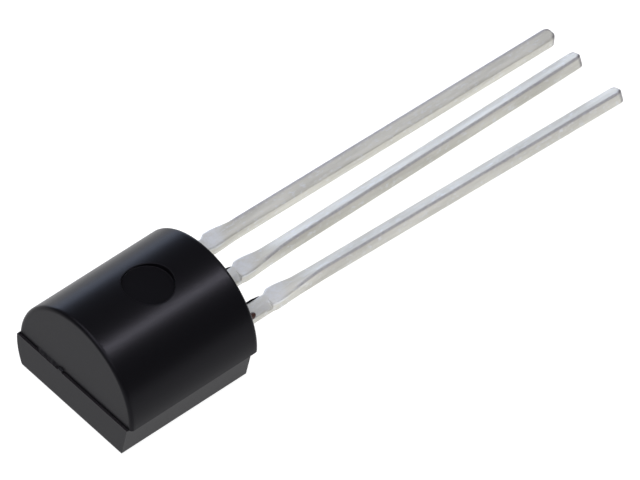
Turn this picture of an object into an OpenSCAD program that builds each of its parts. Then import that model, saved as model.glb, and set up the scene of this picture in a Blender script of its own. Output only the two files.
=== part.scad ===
// Small-signal transistor in a three-lead moulded package (TO-92 outline), lying on its flat front.
// +X runs along the leads, from the blind end of the body to the lead tips. +Z is up, out of the round back.
// The origin is the centre of the flat front. All sizes are millimetres.

/* [Moulded body] */
// Diameter of the round back, which both mould halves follow
body_d = 4.56; // [4.3:0.01:4.8]
// Distance from the parting plane down to the flat front
flat_depth = 1.12; // [1.0:0.01:1.3]
// Length of the half with the round back
back_len = 4.55; // [4.3:0.01:4.8]
// Length of the half with the flat front
front_len = 4.46; // [4.2:0.01:4.6]
// How far the front half stands proud of the back half at the blind end
mould_step = 0.07; // [0.02:0.01:0.12]
// Draft of the end faces, in degrees each way from the parting plane
end_draft = 0.3; // [0:0.1:3]
// Radius of the rims round both end faces
rim_r = 0.11; // [0.04:0.01:0.2]
// How far a rounding would run on past the faces that it joins, which leaves a faint edge
round_past = 0.01; // [0.005:0.001:0.02]
// Radius of the two long edges between the flat front and the round sides
side_edge_r = 0.14; // [0.05:0.01:0.3]

/* [Ejector mark and gate] */
// Diameter of the ejector-pin mark in the crown of the round back
ejector_d = 1.45; // [1.0:0.05:1.6]
// Depth of the ejector-pin mark below the crown
ejector_depth = 0.17; // [0.13:0.01:0.3]
// Distance of the ejector-pin mark from the blind end of the back half
ejector_x = 2.47; // [1.6:0.01:3.0]
// Width of the broken gate on the parting line
gate_w = 0.85; // [0.5:0.05:1.2]
// Distance of the gate's middle from the centre plane
gate_y = 1.1; // [0.4:0.05:1.3]
// Height of the gate above the parting plane
gate_h = 0.1; // [0.05:0.01:0.2]
// How deep the gate is torn into the end face
gate_tear = 0.04; // [0.02:0.01:0.08]
// Width of the gate's stump, beside the torn hollow
stump_w = 0.25; // [0.1:0.01:0.4]
// Height of the gate's stump across the parting plane
stump_h = 0.15; // [0.08:0.01:0.2]

/* [Leads] */
// Distance between neighbouring leads at the body
lead_pitch = 1.27; // [1.2:0.01:1.4]
// Width of a lead
lead_w = 0.46; // [0.4:0.01:0.52]
// Thickness of the leadframe
lead_t = 0.36; // [0.34:0.01:0.45]
// Length of the leads beyond the back half
lead_len = 13.8; // [5:0.1:15]
// Radius of the two upper long edges, which the punch rolls over
punch_r = 0.07; // [0.04:0.01:0.12]
// Radius of the two lower long edges
burr_r = 0.04; // [0.02:0.01:0.06]
// Radius of the corners of a cut tip
tip_r = 0.1; // [0.04:0.01:0.16]
// Sideways bend of the base lead, in degrees, plus towards +Y
base_splay = -1; // [-3:0.1:6]
// Sideways bend of the collector lead, in degrees, plus towards +Y
collector_splay = -0.1; // [-3:0.1:3]
// Sideways bend of the emitter lead, in degrees, plus towards +Y
emitter_splay = -2; // [-6:0.1:3]
// Twist of the base lead, in degrees, plus where its top leans towards +Y
base_twist = 0; // [-30:1:30]
// Twist of the collector lead, in degrees, plus where its top leans towards +Y
collector_twist = 25; // [-30:1:30]
// Twist of the emitter lead, in degrees, plus where its top leans towards +Y
emitter_twist = 25; // [-30:1:30]
// Length over which a lead twists, from inside its dambar stubs
twist_len = 1.5; // [0.8:0.1:3]
// How far the tinned outer stretch of a lead lies inside the outline of its neck
outer_inset = 0.005; // [0.002:0.001:0.02]

/* [Dambar stubs] */
// Distance from the body to the start of the stubs
dambar_x = 1.2; // [0.8:0.05:1.5]
// Length of the stubs along the lead
dambar_len = 0.85; // [0.5:0.05:1.0]
// How far a stub stands out on the side towards the base lead
stub_far = 0.1; // [0.04:0.01:0.15]
// How far a stub stands out on the side towards the emitter lead
stub_near = 0.05; // [0.03:0.01:0.15]
// Length of the slope at each end of a stub
stub_slope = 0.15; // [0.05:0.01:0.2]

/* [Leadframe inside the body] */
// Width of a lead inside the body
inner_w = 0.55; // [0.45:0.01:0.6]
// Distance of that wider strip from the lead end of the back half
inner_set = 0.3; // [0.2:0.05:0.4]
// How far the outer section of a lead reaches into the body
neck_root = 0.5; // [0.45:0.05:0.6]
// Width of the die paddle
paddle_w = 1.5; // [1.3:0.05:1.6]
// Length of the die paddle
paddle_len = 1.7; // [1.4:0.05:2.0]
// Distance of the die paddle from the blind end of the back half
paddle_x = 0.8; // [0.6:0.05:1.0]
// Width of a bond post
post_w = 0.8; // [0.7:0.02:0.84]
// Length of a bond post
post_len = 0.95; // [0.7:0.05:1.1]
// Distance of the bond posts from the blind end of the back half
post_x = 1.6; // [1.2:0.05:1.8]
// Gap between the die paddle and a bond post
frame_gap = 0.2; // [0.15:0.01:0.25]
// Corner radius of the paddle and the posts
head_r = 0.1; // [0.05:0.01:0.2]
// Radius of the notches that lock the leads in the moulding
lock_r = 0.12; // [0.08:0.01:0.15]
// Distance of the lock notches from the lead end of the back half
lock_x = 0.75; // [0.5:0.05:0.9]
// Place of a wire's stitch along its bond post, as a share of the post's length
stitch_place = 0.45; // [0.3:0.05:0.7]

/* [Die and bond wires] */
// Side of the square die
die_w = 0.46; // [0.35:0.01:0.6]
// Thickness of the die
die_t = 0.2; // [0.15:0.01:0.25]
// Margin of the die attach round the die
attach_margin = 0.05; // [0.03:0.01:0.08]
// Thickness of the die attach
attach_t = 0.03; // [0.02:0.005:0.05]
// Distance of a bond ball from the middle of the die
pad_offset = 0.12; // [0.08:0.01:0.14]
// Diameter of the bond wire
wire_d = 0.032; // [0.03:0.002:0.05]
// Diameter of a bond ball
ball_d = 0.09; // [0.08:0.005:0.1]
// Height of a bond ball
ball_h = 0.03; // [0.02:0.005:0.04]
// Length of a stitch along the wire
stitch_len = 0.11; // [0.08:0.01:0.14]
// Width of a stitch
stitch_w = 0.07; // [0.05:0.01:0.09]
// Thickness of a stitch
stitch_t = 0.016; // [0.01:0.002:0.024]
// Height that a wire heads for as it leaves its ball
loop_rise = 0.55; // [0.4:0.01:0.7]
// Height that a wire comes down from as it nears its stitch
loop_fall = 0.34; // [0.2:0.01:0.5]
// How far before its stitch a wire starts to come down
loop_reach = 0.42; // [0.2:0.01:0.5]

/* [Hidden] */
$fn = 64;

// Which lead is which, counted from the side that the base lead is on
BASE = 0;
COLLECTOR = 1;
EMITTER = 2;

// Body. The mould frame has x = 0 at the blind end of the back half and z = 0 at the parting plane.
body_r = body_d / 2;
front_x0 = -mould_step;
front_x1 = front_len - mould_step;
draft = tan(end_draft);
rim_tangent = rim_r * tan((90 - end_draft) / 2);
edge_z = side_edge_r - flat_depth - round_past;
edge_y = sqrt(pow(body_r - side_edge_r + round_past, 2) - edge_z * edge_z);
edge_turn = atan2(-edge_z, edge_y);
arc_steps = 8;

// How far a cutting shape stands out past what it cuts
over = 1;
wide = body_r + over;

// Leads
tip_x = back_len + lead_len;
stub_x0 = back_len + dambar_x;
stub_x1 = stub_x0 + dambar_len;
bend_x = stub_x1 - stub_slope;
neck_x = back_len - neck_root;
inner_x1 = back_len - inner_set;
splays = [base_splay, collector_splay, emitter_splay];
twists = [base_twist, collector_twist, emitter_twist];
run_x = -stub_slope;
run_len = tip_x - bend_x;
twist_rings = 12;
tip_rings = 5;

// Inside the body
paddle_x1 = paddle_x + paddle_len;
post_x1 = post_x + post_len;
post_y = paddle_w / 2 + frame_gap + post_w / 2;
die_x = paddle_x + paddle_len / 2;
attach_w = die_w + 2 * attach_margin;
die_z = lead_t + attach_t;
ball_z = die_z + die_t;
stitch_x = post_x + post_len * stitch_place;
wire_sides = 8;
wire_rings = 24;

function lead_y(i) = (1 - i) * lead_pitch;

// Moves a piece from the mould frame to the part's frame
module in_place() {
    translate([-(front_x0 + front_x1) / 2, 0, flat_depth]) children();
}

// Turns a (y, z) outline into a bar along x
module bar(x0, x1) {
    translate([x0, 0, 0]) rotate([90, 0, 90]) linear_extrude(x1 - x0) children();
}

// Turns an (x, z) outline into a slab across the body
module slab() {
    rotate([90, 0, 0]) linear_extrude(2 * wide, center = true) children();
}

// Points along an arc from angle a0 to angle a1
function arc(centre, r, a0, a1) =
    [for (k = [0:arc_steps]) let (a = a0 + (a1 - a0) * k / arc_steps) centre + r * [cos(a), sin(a)]];

// Solid through rings of points that run anticlockwise seen from its far end, closed at both ends
module skin(rings) {
    n = len(rings[0]);
    last = (len(rings) - 1) * n;
    polyhedron([for (ring = rings) each ring], [
        [for (j = [0:n - 1]) j],
        for (k = [0:len(rings) - 2], j = [0:n - 1])
            let (a = k * n + j, b = k * n + (j + 1) % n)
            [a, a + n, b + n, b],
        [for (j = [n - 1:-1:0]) last + j]
    ]);
}

// Rectangle with round corners
module round_rect(x0, x1, y0, y1, r) {
    translate([x0 + r, y0]) square([x1 - x0 - 2 * r, y1 - y0]);
    translate([x0, y0 + r]) square([x1 - x0, y1 - y0 - 2 * r]);
    for (x = [x0 + r, x1 - r], y = [y0 + r, y1 - r]) translate([x, y]) circle(r);
}

// ---- Moulded body ----

// Half with the round back: a half barrel with round rims, cut by two drafted end faces
module back_half() {
    intersection() {
        rotate([0, 90, 0]) rotate_extrude() barrel_outline(-round_past, back_len + round_past);
        slab() polygon([
            [0, 0], [back_len, 0], [back_len - draft * body_r, body_r], [draft * body_r, body_r]
        ]);
    }
}

// Half section of a barrel from x0 to x1 along the body, drawn with its radius across, with its rims rounded
module barrel_outline(x0, x1) {
    translate([0, x0]) square([body_r - rim_r, x1 - x0]);
    translate([0, x0 + rim_r]) square([body_r, x1 - x0 - 2 * rim_r]);
    for (x = [x0 + rim_r, x1 - rim_r]) translate([body_r - rim_r, x]) circle(rim_r);
}

// Half with the flat front, between the parting plane and the flat
module front_half() {
    intersection() {
        bar(front_x0 - over, front_x1 + over) front_section();
        slab() front_side();
    }
}

// Section of the front half in (y, z): the barrel's circle, the flat and a round edge on each side
module front_section() {
    start_z = edge_z - side_edge_r * sin(edge_turn);
    intersection() {
        circle(body_r);
        translate([-wide, -flat_depth]) square([2 * wide, flat_depth]);
        polygon(concat(
            [[wide, 0], [-wide, 0], [-wide, start_z]],
            arc([-edge_y, edge_z], side_edge_r, 180 + edge_turn, 270),
            arc([edge_y, edge_z], side_edge_r, -90, -edge_turn),
            [[wide, start_z]]
        ));
    }
}

// Side view of the front half in (x, z): drafted ends, and a round edge where they meet the flat
module front_side() {
    x0 = front_x0 + draft * flat_depth + rim_tangent;
    x1 = front_x1 - draft * flat_depth - rim_tangent;
    polygon(concat(
        [[front_x0, 0], [front_x1, 0]],
        arc([x1, rim_r - flat_depth], rim_r, -end_draft, -90),
        arc([x0, rim_r - flat_depth], rim_r, -90, end_draft - 180)
    ));
}

// Shallow round mark that the ejector pin leaves in the crown
module ejector_mark() {
    translate([ejector_x, 0, body_r - ejector_depth]) cylinder(d = ejector_d, h = ejector_depth + over);
}

// Where the gate broke off: a torn hollow in the back half's end face, above the parting plane
module gate_hollow() {
    translate([-over, gate_y - gate_w / 2, 0]) cube([over + gate_tear, gate_w, gate_h]);
}

// Stump of the gate that bridges the step between the halves, beside the hollow
module gate_stump() {
    y1 = gate_y - gate_w / 2;
    translate([front_x0, y1 - stump_w, -stump_h / 2]) cube([mould_step + gate_tear, stump_w, stump_h]);
}

module moulded_body() {
    color("#1b1b1e") in_place() difference() {
        union() {
            difference() {
                union() {
                    back_half();
                    front_half();
                }
                ejector_mark();
                gate_hollow();
            }
            gate_stump();
        }
        for (i = [BASE, COLLECTOR, EMITTER]) lead_root(i);
        die();
        attach();
        for (side = [-1, 1]) bond_wire(side);
    }
}

// ---- Leads ----

// Outline of a lead in (y, z) about its middle: its upper edges are rolled over, its lower ones nearly sharp
function lead_outline(w, t) = let (y = w / 2, z = t / 2) concat(
    arc([y - punch_r, z - punch_r], punch_r, 0, 90),
    arc([punch_r - y, z - punch_r], punch_r, 90, 180),
    arc([burr_r - y, burr_r - z], burr_r, 180, 270),
    arc([y - burr_r, burr_r - z], burr_r, 270, 360)
);

// Widened stretch that the cut dambar leaves, in plan
module dambar_stubs() {
    half = lead_w / 2;
    inner0 = stub_x0 + stub_slope;
    inner1 = stub_x1 - stub_slope;
    linear_extrude(lead_t) polygon([
        [stub_x0, half], [inner0, half + stub_far], [inner1, half + stub_far], [stub_x1, half],
        [stub_x1, -half], [inner1, -half - stub_near], [inner0, -half - stub_near], [stub_x0, -half]
    ]);
}

// Smooth step from 0 to 1 as t goes from 0 to 1
function ease(t) = let (u = min(max(t, 0), 1)) u * u * (3 - 2 * u);

// Half width of the outer lead at x along it, which follows a quarter circle at the corners of the tip
function half_width(x) = let (s = max(x - (run_len - tip_r), 0))
    lead_w / 2 - outer_inset - tip_r + sqrt(max(tip_r * tip_r - s * s, 0));

// One lead from inside its dambar stubs to its tip: it bends sideways at bend_x, and twists about its middle
module outer_lead(i) {
    full = half_width(0);
    outline = lead_outline(2 * full, lead_t - 2 * outer_inset);
    places = concat(
        [for (k = [0:twist_rings]) run_x + twist_len * k / twist_rings],
        [for (k = [0:tip_rings]) run_len - tip_r + tip_r * sin(90 * k / tip_rings)]
    );
    dambar_stubs();
    translate([bend_x, 0, lead_t / 2]) rotate([0, 0, splays[i]]) skin([
        for (x = places)
            let (a = twists[i] * ease((x - run_x) / twist_len), narrow = half_width(x) / full)
            [for (p = outline)
                [x, p.x * narrow * cos(a) + p.y * sin(a), p.y * cos(a) - p.x * narrow * sin(a)]]
    ]);
}

// The stretch of a lead inside the body in plan, from x0 to near the end face, with its lock notches
module inner_strip(x0) {
    difference() {
        translate([x0, -inner_w / 2]) square([inner_x1 - x0, inner_w]);
        for (side = [-1, 1]) translate([back_len - lock_x, side * inner_w / 2]) circle(lock_r);
    }
}

// The straight part of a lead: its neck, the strip inside the body, and its paddle or post
module lead_root(i) {
    side = sign(1 - i);
    translate([0, lead_y(i), 0]) {
        bar(neck_x, bend_x) translate([0, lead_t / 2]) polygon(lead_outline(lead_w, lead_t));
        linear_extrude(lead_t) inner_strip(i == COLLECTOR ? paddle_x1 - head_r : post_x1 - head_r);
    }
    linear_extrude(lead_t) {
        if (i == COLLECTOR)
            round_rect(paddle_x, paddle_x1, -paddle_w / 2, paddle_w / 2, head_r);
        else
            round_rect(post_x, post_x1, side * post_y - post_w / 2, side * post_y + post_w / 2, head_r);
    }
}

module lead(i) {
    lead_root(i);
    translate([0, lead_y(i), 0]) outer_lead(i);
}

module base_lead() {
    color("#c9cac8") in_place() lead(BASE);
}

module collector_lead() {
    color("#c9cac8") in_place() lead(COLLECTOR);
}

module emitter_lead() {
    color("#c9cac8") in_place() lead(EMITTER);
}

// ---- Die and bond wires ----

module die() {
    translate([die_x, 0, die_z + die_t / 2]) cube([die_w, die_w, die_t], center = true);
}

module attach() {
    translate([die_x, 0, lead_t + attach_t / 2]) cube([attach_w, attach_w, attach_t], center = true);
}

// Point on the cubic curve that has the control points p, at t from 0 to 1
function curve(p, t) =
    pow(1 - t, 3) * p[0] + 3 * t * pow(1 - t, 2) * p[1] + 3 * t * t * (1 - t) * p[2] + pow(t, 3) * p[3];

// Direction of that curve at t
function heading(p, t) =
    let (d = pow(1 - t, 2) * (p[1] - p[0]) + 2 * t * (1 - t) * (p[2] - p[1]) + t * t * (p[3] - p[2]))
    d / norm(d);

// Wire that loops from a ball on the die to a stitch on the post at the given side
module bond_wire(side) {
    ball = [die_x, side * pad_offset, ball_z];
    end = [stitch_x, side * post_y, lead_t + wire_d / 2];
    path = [
        ball + [0, 0, ball_h / 2],
        ball + [0, 0, loop_rise],
        end + [0, -side * loop_reach, loop_fall],
        end
    ];
    flat_way = [end.x - ball.x, end.y - ball.y, 0];
    across = [-flat_way.y, flat_way.x, 0] / norm(flat_way);
    skin([
        for (k = [0:wire_rings])
            let (t = k / wire_rings, up = cross(heading(path, t), across))
            [for (j = [0:wire_sides - 1])
                let (a = 360 * j / wire_sides)
                curve(path, t) + wire_d / 2 * (cos(a) * across + sin(a) * up)]
    ]);
    translate(ball) cylinder(d = ball_d, h = ball_h);
    translate([end.x, end.y, lead_t + stitch_t / 2]) rotate([0, 0, atan2(flat_way.y, flat_way.x)])
        cube([stitch_len, stitch_w, stitch_t], center = true);
}

module silicon_die() {
    color("#6d7480") in_place() die();
}

module die_attach() {
    color("#b9b4a4") in_place() attach();
}

module base_bond_wire() {
    color("#d9b24a") in_place() bond_wire(1);
}

module emitter_bond_wire() {
    color("#d9b24a") in_place() bond_wire(-1);
}

moulded_body();
base_lead();
collector_lead();
emitter_lead();
silicon_die();
die_attach();
base_bond_wire();
emitter_bond_wire();
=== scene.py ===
"""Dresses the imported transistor: its moulded body, its three tinned leads, their trim and a stage."""

import math

import bmesh
import bpy
import numpy as np
from bpy.props import FloatProperty, FloatVectorProperty, PointerProperty
from mathutils import Matrix, Vector


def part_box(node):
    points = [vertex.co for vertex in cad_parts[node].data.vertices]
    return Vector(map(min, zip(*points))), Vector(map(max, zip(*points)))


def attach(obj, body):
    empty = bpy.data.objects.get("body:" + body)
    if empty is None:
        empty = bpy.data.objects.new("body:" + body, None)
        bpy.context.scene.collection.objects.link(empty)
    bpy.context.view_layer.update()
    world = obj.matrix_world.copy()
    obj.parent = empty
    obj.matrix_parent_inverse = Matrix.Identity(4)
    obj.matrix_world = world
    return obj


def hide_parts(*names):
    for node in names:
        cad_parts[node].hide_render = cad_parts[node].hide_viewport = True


bl_info = {
    "name": "Moulded Transistor",
    "version": (1, 0, 0),
    "blender": (4, 5, 0),
    "location": "View3D > Sidebar > Transistor",
    "description": "Builds the finished skin of a three-lead moulded transistor round its solids",
    "category": "Add Mesh",
}

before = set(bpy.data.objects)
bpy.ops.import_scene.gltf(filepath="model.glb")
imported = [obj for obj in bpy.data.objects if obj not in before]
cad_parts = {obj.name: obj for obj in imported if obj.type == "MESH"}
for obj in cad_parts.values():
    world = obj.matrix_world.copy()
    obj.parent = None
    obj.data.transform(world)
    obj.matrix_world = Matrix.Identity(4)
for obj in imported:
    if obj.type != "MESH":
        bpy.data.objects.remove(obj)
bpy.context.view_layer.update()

MM = 0.001
# Points that lie nearer than this are sewn into one
SEW = 1e-7
# How far the tips stay inside the box of the solids
MARGIN = 1e-6
# Faces that meet at a wider angle have a sharp edge between them
SHARP = math.radians(32.0)
LEADS = ("base_lead", "collector_lead", "emitter_lead")


# ---- Sizes that the solids give ----

def node_box(node):
    """Lowest and highest corner of a solid, as two arrays."""
    low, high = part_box(node)
    return np.array(low), np.array(high)


BODY_LOW, BODY_HIGH = node_box("moulded_body")
LEAD_LOW, LEAD_HIGH = node_box("base_lead")
BODY_R = BODY_HIGH[1]
PARTING = LEAD_LOW[2]
FLAT_DEPTH = PARTING - BODY_LOW[2]
FRONT_X0 = BODY_LOW[0]
FRONT_X1 = -BODY_LOW[0]
BACK_X1 = BODY_HIGH[0]
LEAD_T = LEAD_HIGH[2] - LEAD_LOW[2]
TIP_X = LEAD_HIGH[0] - MARGIN
POST_X0 = LEAD_LOW[0]
POST_Y1 = LEAD_HIGH[1]
PADDLE_X0 = node_box("collector_lead")[0][0]
PADDLE_HALF = node_box("collector_lead")[1][1]


def length_of(name, text, millimetres):
    """A length property, whose default is given in millimetres."""
    return FloatProperty(
        name=name, description=text, default=millimetres * MM, min=0.0, unit="LENGTH", precision=5
    )


def place_of(name, text, millimetres):
    """A property for a place along an axis, whose default is given in millimetres."""
    return FloatProperty(name=name, description=text, default=millimetres * MM, unit="LENGTH", precision=5)


def point_of(name, text, millimetres):
    """A property for a point, whose default is given in millimetres."""
    return FloatVectorProperty(
        name=name, description=text, default=[value * MM for value in millimetres], subtype="TRANSLATION",
        unit="LENGTH", precision=5,
    )


def angle_of(name, text, degrees):
    """An angle property, whose default is given in degrees."""
    return FloatProperty(name=name, description=text, default=math.radians(degrees), subtype="ANGLE")


def share_of(name, text, value):
    """A property from 0 to 1."""
    return FloatProperty(name=name, description=text, default=value, min=0.0, max=1.0, subtype="FACTOR")


def colour_of(name, text, rgb):
    """A colour property."""
    return FloatVectorProperty(name=name, description=text, default=rgb, min=0.0, max=1.0, subtype="COLOR")


class TransistorBodySizes(bpy.types.PropertyGroup):
    """Sizes of the moulded body's finer forms."""

    step: length_of("Mould step", "How far the front half stands proud at the blind end", 0.07)
    draft: angle_of("Draft", "Draft of the end faces, each way from the parting plane", 0.3)
    rim: length_of("Rim", "Radius of the rims round the end faces", 0.11)
    near_set: length_of("Near side", "How far the front half's -Y side stands in at the parting", 0.1)
    side_edge: length_of("Side edge", "Radius of the edges between the flat front and the sides", 0.14)
    mark_r: length_of("Ejector mark", "Radius of the ejector-pin mark", 0.725)
    mark_x: place_of("Mark's place", "Place of the ejector-pin mark along the body", 0.31)
    mark_depth: length_of("Mark's depth", "Depth of the ejector-pin mark below the crown", 0.17)
    mark_lip: length_of("Mark's lip", "Radius of the lip round the ejector-pin mark", 0.02)
    mark_root: length_of("Mark's root", "Radius round the floor of the ejector-pin mark", 0.015)
    gate_y: place_of("Gate's place", "Middle of the broken gate across the body", 1.1)
    gate_w: length_of("Gate's width", "Width of the broken gate", 0.85)
    gate_h: length_of("Gate's height", "Height of the torn gate above the parting plane", 0.13)
    gate_fill: share_of("Gate's fill", "Share of the ledge that the torn gate fills", 0.85)
    stump_w: length_of("Stump's width", "Width of the gate's stump beside the torn gate", 0.25)
    torn_h: length_of("Torn flash", "Height of the matt line of torn flash at the parting plane", 0.04)
    stump_h: length_of("Stump's height", "Height of the gate's stump above the parting plane", 0.075)


class TransistorLeadSizes(bpy.types.PropertyGroup):
    """Sizes of the leads' finer forms."""

    pitch: length_of("Pitch", "Distance between neighbouring leads at the body", 1.27)
    width: length_of("Width", "Width of a lead", 0.46)
    punch_r: length_of("Punch side", "Radius of the two upper long edges", 0.07)
    burr_r: length_of("Burr side", "Radius of the two lower long edges", 0.04)
    tip_r: length_of("Tip", "Radius of the corners of a cut tip", 0.21)
    tip_edge: length_of("Tip's lower edge", "Radius of the lower edge of a cut tip", 0.05)
    tip_roll: length_of("Tip's upper edge", "Radius of the upper edge of a cut tip", 0.08)
    # Painted shade: width of the dark line painted along the base lead's far upper edge, standing in for
    # the dark reflection on its rolled edge
    base_edge_shade: length_of("Base lead's edge shade", "Width of the painted edge shade along its far upper edge", 0.13)
    dambar_x: length_of("Dambar", "Distance from the body to the dambar stubs", 1.2)
    dambar_len: length_of("Dambar's length", "Length of the dambar stubs", 0.85)
    stub_far: length_of("Far stub", "How far a stub stands out towards the base lead's side", 0.1)
    stub_near: length_of("Near stub", "How far a stub stands out towards the emitter lead's side", 0.03)
    stub_slope: length_of("Stub's slope", "Length of the slope at the body's end of a stub", 0.22)
    stub_fade: length_of("Stub's fade", "Length of the slope at the tip's end of a stub", 0.8)
    stub_trail: length_of("Stub's trail", "How far that slope runs on past the stub", 0.25)
    bevel_body: length_of("Bevel at the body", "Depth of the bevel beside the body", 0.09)
    bevel_stub: length_of("Bevel at the stub", "Depth of the bevel beside a stub", 0.2)
    base_splay: angle_of("Base splay", "Sideways bend of the base lead", -1.0)
    collector_splay: angle_of("Collector splay", "Sideways bend of the collector lead", -0.1)
    emitter_splay: angle_of("Emitter splay", "Sideways bend of the emitter lead", -2.0)
    base_twist: angle_of("Base twist", "Twist of the base lead", 0.0)
    collector_twist: angle_of("Collector twist", "Twist of the collector lead", 25.0)
    emitter_twist: angle_of("Emitter twist", "Twist of the emitter lead", 25.0)
    twist_len: length_of("Twist's length", "Length over which a lead twists", 1.5)
    inner_w: length_of("Inner width", "Width of a lead inside the body", 0.55)
    inner_set: length_of("Inner set", "Distance of the wider strip from the body's lead end", 0.3)
    lock_r: length_of("Lock notch", "Radius of the notches that lock the leads in the moulding", 0.12)
    lock_x: length_of("Lock's place", "Distance of the lock notches from the body's lead end", 0.75)
    head_r: length_of("Head's corner", "Corner radius of the paddle and the posts", 0.1)
    paddle_len: length_of("Paddle", "Length of the die paddle", 1.7)
    post_len: length_of("Post", "Length of a bond post", 0.95)
    post_w: length_of("Post's width", "Width of a bond post", 0.8)


class TransistorTrimSizes(bpy.types.PropertyGroup):
    """Sizes of the flash and the bead that the moulding left on the leads."""

    fin_t: length_of("Fin's thickness", "Thickness of a fin of flash", 0.05)
    fin_top: length_of("Fin's height", "How far a fin stands above its lead", 0.03)
    emitter_fin: length_of("Emitter fin", "Length of the fin on the emitter lead", 1.14)
    collector_fin: length_of("Collector fin", "Length of the fin on the collector lead", 1.26)
    bead_r: length_of("Bead", "Radius of the bead of resin", 0.095)
    bead_drawn: FloatProperty(name="Bead's stretch", description="Length over width", default=1.25)
    bead_at: point_of("Bead's place", "Middle of the bead of resin", (2.88, -1.44, 1.43))


class TransistorFinishes(bpy.types.PropertyGroup):
    """Colours and gloss of the finishes."""

    epoxy: colour_of("Epoxy", "Colour of the moulding epoxy", (0.0036, 0.0035, 0.0042))
    epoxy_torn: colour_of("Torn epoxy", "Colour where the flash has torn off", (0.018, 0.016, 0.018))
    epoxy_tint: colour_of("Epoxy's tint", "Colour of the epoxy's reflections", (0.90, 0.88, 1.0))
    epoxy_rough: share_of("Epoxy's roughness", "Roughness of the moulded skin", 0.32)
    tin_light: colour_of("Light tin", "Colour of the tin where it is clean", (0.77, 0.76, 0.69))
    tin_dark: colour_of("Dark tin", "Colour of the tin in its streaks", (0.60, 0.59, 0.53))
    tin_pressed: colour_of("Pressed tin", "Colour of its flecks and pressed mark", (0.81, 0.83, 0.85))
    # Painted shade: the dark colour painted along the rolled upper edges, standing in for their dark
    # reflection
    tin_edge_shade: colour_of("Tin's painted edge shade", "Colour of the tin along the rolled edges", (0.40, 0.39, 0.43))
    tin_cut: colour_of("Cut end", "Colour of the sheared tips", (0.20, 0.19, 0.21))
    tin_rough: share_of("Tin's roughness", "Roughness of the tinned leads", 0.45)
    bead: colour_of("Resin bead", "Colour of the bead of resin on the emitter lead", (0.07, 0.034, 0.027))
    silicon: colour_of("Silicon", "Colour of the die", (0.20, 0.22, 0.26))
    adhesive: colour_of("Adhesive", "Colour of the silver-filled die attach", (0.55, 0.54, 0.50))
    gold: colour_of("Gold", "Colour of the bond wires", (0.83, 0.62, 0.25))


class TransistorStage(bpy.types.PropertyGroup):
    """Camera and light."""

    azimuth: angle_of("Azimuth", "Direction of the camera round the part", -135.726)
    elevation: angle_of("Elevation", "Height of the camera above the floor, as an angle", 48.547)
    roll: angle_of("Roll", "Turn of the camera about its own line of sight", 5.009)
    distance: length_of("Distance", "Distance of the camera from its target", 300.0)
    view_width: length_of("View's width", "Width of the view at the target", 17.187)
    target: point_of("Target", "Point that the camera looks at", (5.3833, -1.2834, 2.5916))
    floor: colour_of("Table", "Colour of the table", (0.35, 0.35, 0.35))
    table_glow: share_of("Table's glow", "How bright the lit table shines by itself", 0.9)
    room: colour_of("Room", "Colour of the room's dim light", (0.09, 0.088, 0.095))


# ---- Surfaces ----

def ease(t):
    """Smooth step: three t squared less two t cubed, held at 0 and 1 outside the step."""
    t = np.clip(t, 0.0, 1.0)
    return t * t * (3.0 - 2.0 * t)


def points_of(x, y, z):
    """A grid of points, with the three coordinates spread to one shape."""
    return np.stack(np.broadcast_arrays(x, y, z), axis=-1).astype(float)


def grid_faces(rows, columns, start):
    """Quads between neighbouring rows and columns of a grid that is counted row by row from start."""
    corner = start + np.arange((rows - 1) * columns).reshape(rows - 1, columns)[:, :-1].ravel()
    return np.stack([corner, corner + 1, corner + columns + 1, corner + columns], axis=1)


def make_piece(name, grids, material, replaced=(), marks=None):
    """Sews grids of points along their shared edges into one closed piece, and hangs it on the part.

    Marks are grids of three shares for each point, which the materials read as the attribute marks.
    """
    points, faces, start = [], [], 0
    for grid in grids:
        rows, columns = grid.shape[:2]
        points.append(grid.reshape(-1, 3))
        faces.append(grid_faces(rows, columns, start))
        start += rows * columns
    mesh = bpy.data.meshes.new(name)
    mesh.from_pydata(np.concatenate(points).tolist(), [], np.concatenate(faces).tolist())
    if marks is not None:
        shares = mesh.attributes.new("marks", "FLOAT_VECTOR", "POINT")
        shares.data.foreach_set("vector", np.concatenate([grid.reshape(-1, 3) for grid in marks]).ravel())
    shell = bmesh.new()
    shell.from_mesh(mesh)
    bmesh.ops.remove_doubles(shell, verts=shell.verts, dist=SEW)
    bmesh.ops.recalc_face_normals(shell, faces=shell.faces)
    open_edges = sum(not edge.is_manifold for edge in shell.edges)
    shell.to_mesh(mesh)
    shell.free()
    if open_edges:
        raise RuntimeError(f"{name} has {open_edges} open edges")
    mesh.shade_smooth()
    mesh.set_sharp_from_angle(angle=SHARP)
    mesh.materials.append(material)
    piece = bpy.data.objects.new(name, mesh)
    bpy.context.scene.collection.objects.link(piece)
    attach(piece, "root")
    if replaced:
        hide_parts(*replaced)
    return piece


# ---- Moulded body ----

# Stations along the body up to the front half's end, and past it
ALONG_STATIONS, PAST_STATIONS = 70, 2
# Steps of a rim's quarter circle, of half the width of an end face and of the height of the front half
RIM_STEPS, FACE_STEPS, FRONT_STEPS = 8, 60, 40
# Rings round the skin between the ejector mark and its border, which lie closer by the mark
SKIN_RINGS, SKIN_POWER = 40, 1.3
# Places of the rings over the mark's floor, as shares of its radius, and steps up its root and over its lip
FLOOR_RINGS, ROOT_STEPS, LIP_STEPS = (0.0, 0.3, 0.6, 0.85), 5, 6
# Rays of the lead end's half circle. The blind end's lie closer up to an angle that takes in the gate
LEAD_RAYS, GATE_RAYS, OTHER_RAYS, GATE_ANGLE = 121, 23, 115, 9.0
# Sines along Y that make the torn gate waver about a mean share: height, length and phase
GATE_MEAN, GATE_WAVES = 0.8, ((0.16, 0.062 * MM, 0.0), (0.1, 0.027 * MM, 1.0))
# Lengths over which the torn gate and its stump end sideways, and over which the stump ends upwards
GATE_EDGE, STUMP_EDGE, STUMP_TOP = 0.09 * MM, 0.05 * MM, 0.04 * MM
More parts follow.
